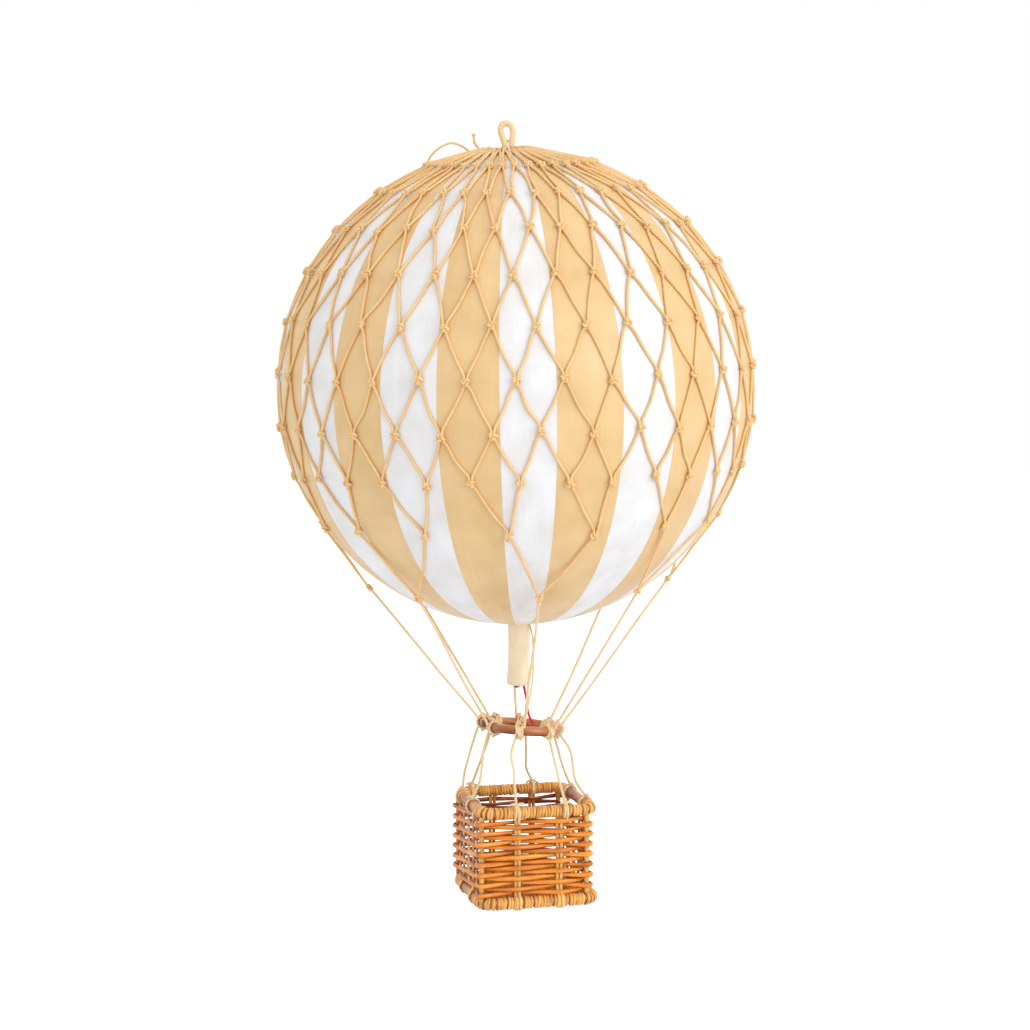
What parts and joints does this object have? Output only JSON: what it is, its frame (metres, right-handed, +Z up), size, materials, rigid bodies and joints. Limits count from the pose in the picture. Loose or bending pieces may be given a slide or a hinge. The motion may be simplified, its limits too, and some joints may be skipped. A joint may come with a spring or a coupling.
{
  "type": "model hot air balloon",
  "caption": "Hanging model balloon: a striped ball in a knotted cord net, with cord lines down to a bent rattan ring and a square wicker basket under it.",
  "frame": {"origin": "the point inside the hanging loop where a hook bears", "axes": "+Z up as it hangs, -Y out of the basket's front, +X to the right of that front"},
  "size_m": [0.1838, 0.1837, 0.297],
  "materials": {
    "striped_paper": "satin",
    "net_cord": "matte",
    "cream_card": "matte",
    "cream_cord": "matte",
    "cream_sleeve": "satin",
    "plug_knot": "matte",
    "red_tape": "satin",
    "rattan_rod": "satin",
    "natural_line": "matte",
    "wrapped_rod": "satin",
    "floor_cane": "satin",
    "split_cane": "satin"
  },
  "bodies": {
    "envelope": {"envelope": "striped_paper", "net": "net_cord", "crown_patch": "cream_card", "hanging_loop": "cream_cord", "neck_sleeve": "cream_sleeve", "neck_plug": "plug_knot", "red_tail": "red_tape", "load_line_1": "natural_line", "load_line_2": "natural_line", "load_line_3": "natural_line", "load_line_4": "natural_line", "load_line_5": "natural_line", "load_line_6": "natural_line", "load_line_7": "natural_line", "load_line_8": "natural_line"},
    "ring": {"load_ring": "rattan_rod", "lashing_1": "natural_line", "lashing_2": "natural_line", "lashing_3": "natural_line", "lashing_4": "natural_line", "lashing_5": "natural_line", "lashing_6": "natural_line", "lashing_7": "natural_line", "lashing_8": "natural_line"},
    "basket": {"basket_rim": "wrapped_rod", "basket_foot": "wrapped_rod", "basket_floor": "floor_cane", "basket_weave": "split_cane", "basket_line_1": "natural_line", "basket_line_2": "natural_line", "basket_line_3": "natural_line", "basket_line_4": "natural_line", "basket_line_5": "natural_line", "basket_line_6": "natural_line", "basket_line_7": "natural_line", "basket_line_8": "natural_line", "rim_tie_1": "natural_line", "rim_tie_2": "natural_line", "rim_tie_3": "natural_line", "rim_tie_4": "natural_line", "rim_tie_5": "natural_line", "rim_tie_6": "natural_line", "rim_tie_7": "natural_line", "rim_tie_8": "natural_line"}
  },
  "joints": [
    {"name": "ring_tilt", "type": "hinge", "parent": "envelope", "child": "ring", "pos_m": [0.00904, 0.00651, -0.2292], "axis": [0, 1, 0], "range_deg": [-8, 8], "deforming": ["load_line_1", "load_line_2", "load_line_3", "load_line_4", "load_line_5", "load_line_6", "load_line_7", "load_line_8"]},
    {"name": "basket_swing", "type": "hinge", "parent": "ring", "child": "basket", "pos_m": [0.00904, 0.00651, -0.2292], "axis": [1, 0, 0], "range_deg": [-12, 12], "deforming": ["basket_line_1", "basket_line_2", "basket_line_3", "basket_line_4", "basket_line_5", "basket_line_6", "basket_line_7", "basket_line_8"]}
  ]
}
